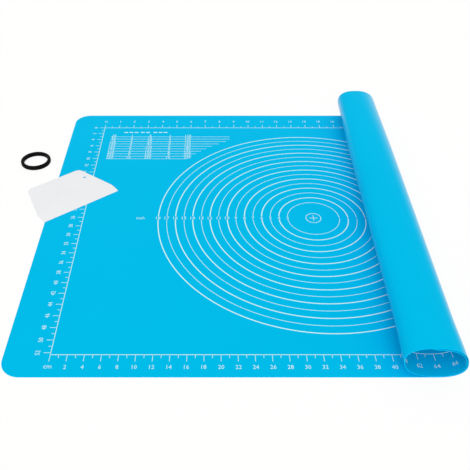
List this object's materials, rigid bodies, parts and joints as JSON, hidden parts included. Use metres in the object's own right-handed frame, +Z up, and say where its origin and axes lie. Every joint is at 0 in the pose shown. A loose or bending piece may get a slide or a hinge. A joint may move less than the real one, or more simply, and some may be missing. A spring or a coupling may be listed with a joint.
{
  "type": "silicone pastry mat",
  "caption": "Thin silicone pastry mat with printed guide circles and edge scales, one end loosely rolled up, a dough scraper lying across its edge and a rubber band beside it.",
  "frame": {"origin": "centre of the printed guide circles, on the underside of the mat", "axes": "+X along the mat towards the rolled end, +Y away from the cook, +Z up from the table"},
  "size_m": [0.6074, 0.6, 0.0496],
  "materials": {
    "mat_silicone": "smooth silicone with a soft sheen",
    "print_ink": "flat printed white ink",
    "scraper_plastic": "smooth white moulded plastic",
    "band_rubber": "matt black rubber"
  },
  "bodies": {
    "sheet": {"mat_sheet": "mat_silicone", "mat_rise": "mat_silicone", "guide_circle_03_in": "print_ink", "guide_circle_04_in": "print_ink", "guide_circle_05_in": "print_ink", "guide_circle_06_in": "print_ink", "guide_circle_07_in": "print_ink", "guide_circle_08_in": "print_ink", "guide_circle_09_in": "print_ink", "guide_circle_10_in": "print_ink", "guide_circle_11_in": "print_ink", "guide_circle_12_in": "print_ink", "guide_circle_13_in": "print_ink", "guide_circle_14_in": "print_ink", "guide_circle_15_in": "print_ink", "guide_circle_16_in": "print_ink", "guide_circle_17_in": "print_ink", "guide_circle_18_in": "print_ink", "front_cm_scale": "print_ink", "left_cm_scale": "print_ink", "back_inch_scale": "print_ink"},
    "roll_strip_01": {"mat_roll_01": "mat_silicone"},
    "roll_strip_02": {"mat_roll_02": "mat_silicone"},
    "roll_strip_03": {"mat_roll_03": "mat_silicone"},
    "roll_strip_04": {"mat_roll_04": "mat_silicone"},
    "roll_strip_05": {"mat_roll_05": "mat_silicone"},
    "roll_strip_06": {"mat_roll_06": "mat_silicone"},
    "inner_roll": {"mat_inner_roll_01": "mat_silicone", "mat_inner_roll_02": "mat_silicone", "mat_inner_roll_03": "mat_silicone", "mat_inner_roll_04": "mat_silicone", "mat_inner_roll_05": "mat_silicone", "mat_inner_roll_06": "mat_silicone", "mat_inner_roll_07": "mat_silicone", "mat_inner_roll_08": "mat_silicone", "mat_inner_roll_09": "mat_silicone", "mat_inner_roll_10": "mat_silicone", "mat_inner_roll_11": "mat_silicone", "mat_inner_roll_12": "mat_silicone", "mat_inner_roll_13": "mat_silicone", "mat_inner_roll_14": "mat_silicone", "mat_inner_roll_15": "mat_silicone", "mat_inner_roll_16": "mat_silicone"},
    "scraper": {"dough_scraper": "scraper_plastic"},
    "band": {"rubber_band": "band_rubber"}
  },
  "joints": [
    {"name": "roll_bend_01", "type": "hinge", "parent": "sheet", "child": "roll_strip_01", "pos_m": [0.12904, -0.00033, 0.00355], "axis": [0.0166, 0.9999, 0], "range_deg": [0, 40.18]},
    {"name": "roll_bend_02", "type": "hinge", "parent": "roll_strip_01", "child": "roll_strip_02", "pos_m": [0.13738, -0.00047, 0.01059], "axis": [0.0166, 0.9999, 0], "range_deg": [0, 39.64]},
    {"name": "roll_bend_03", "type": "hinge", "parent": "roll_strip_02", "child": "roll_strip_03", "pos_m": [0.13922, -0.0005, 0.02076], "axis": [0.0166, 0.9999, 0], "range_deg": [0, 32.32]},
    {"name": "roll_bend_04", "type": "hinge", "parent": "roll_strip_03", "child": "roll_strip_04", "pos_m": [0.13214, -0.00038, 0.03834], "axis": [0.0166, 0.9999, 0], "range_deg": [0, 40.16]},
    {"name": "roll_bend_05", "type": "hinge", "parent": "roll_strip_04", "child": "roll_strip_05", "pos_m": [0.1139, -0.00008, 0.04804], "axis": [0.0166, 0.9999, 0], "range_deg": [0, 31.07]},
    {"name": "roll_bend_06", "type": "hinge", "parent": "roll_strip_05", "child": "roll_strip_06", "pos_m": [0.0795, 0.00049, 0.04626], "axis": [0.0166, 0.9999, 0], "range_deg": [0, 37.32]},
    {"name": "roll_bend_07", "type": "hinge", "parent": "roll_strip_06", "child": "inner_roll", "pos_m": [0.07146, 0.00063, 0.03947], "axis": [0.0166, 0.9999, 0], "range_deg": [0, 39.78]},
    {"name": "scraper_lift", "type": "slide", "parent": "sheet", "child": "scraper", "axis": [0, 0, 1], "range_m": [0, 0.2]},
    {"name": "band_lift", "type": "slide", "parent": "sheet", "child": "band", "axis": [0, 0, 1], "range_m": [0, 0.15]}
  ],
  "couplings": [
    {"joint": "roll_bend_02", "follows": "roll_bend_01", "ratio": 0.9841},
    {"joint": "roll_bend_03", "follows": "roll_bend_01", "ratio": 0.80179},
    {"joint": "roll_bend_04", "follows": "roll_bend_01", "ratio": 0.99701},
    {"joint": "roll_bend_05", "follows": "roll_bend_01", "ratio": 0.77066},
    {"joint": "roll_bend_06", "follows": "roll_bend_01", "ratio": 0.92633},
    {"joint": "roll_bend_07", "follows": "roll_bend_01", "ratio": 0.98756}
  ]
}
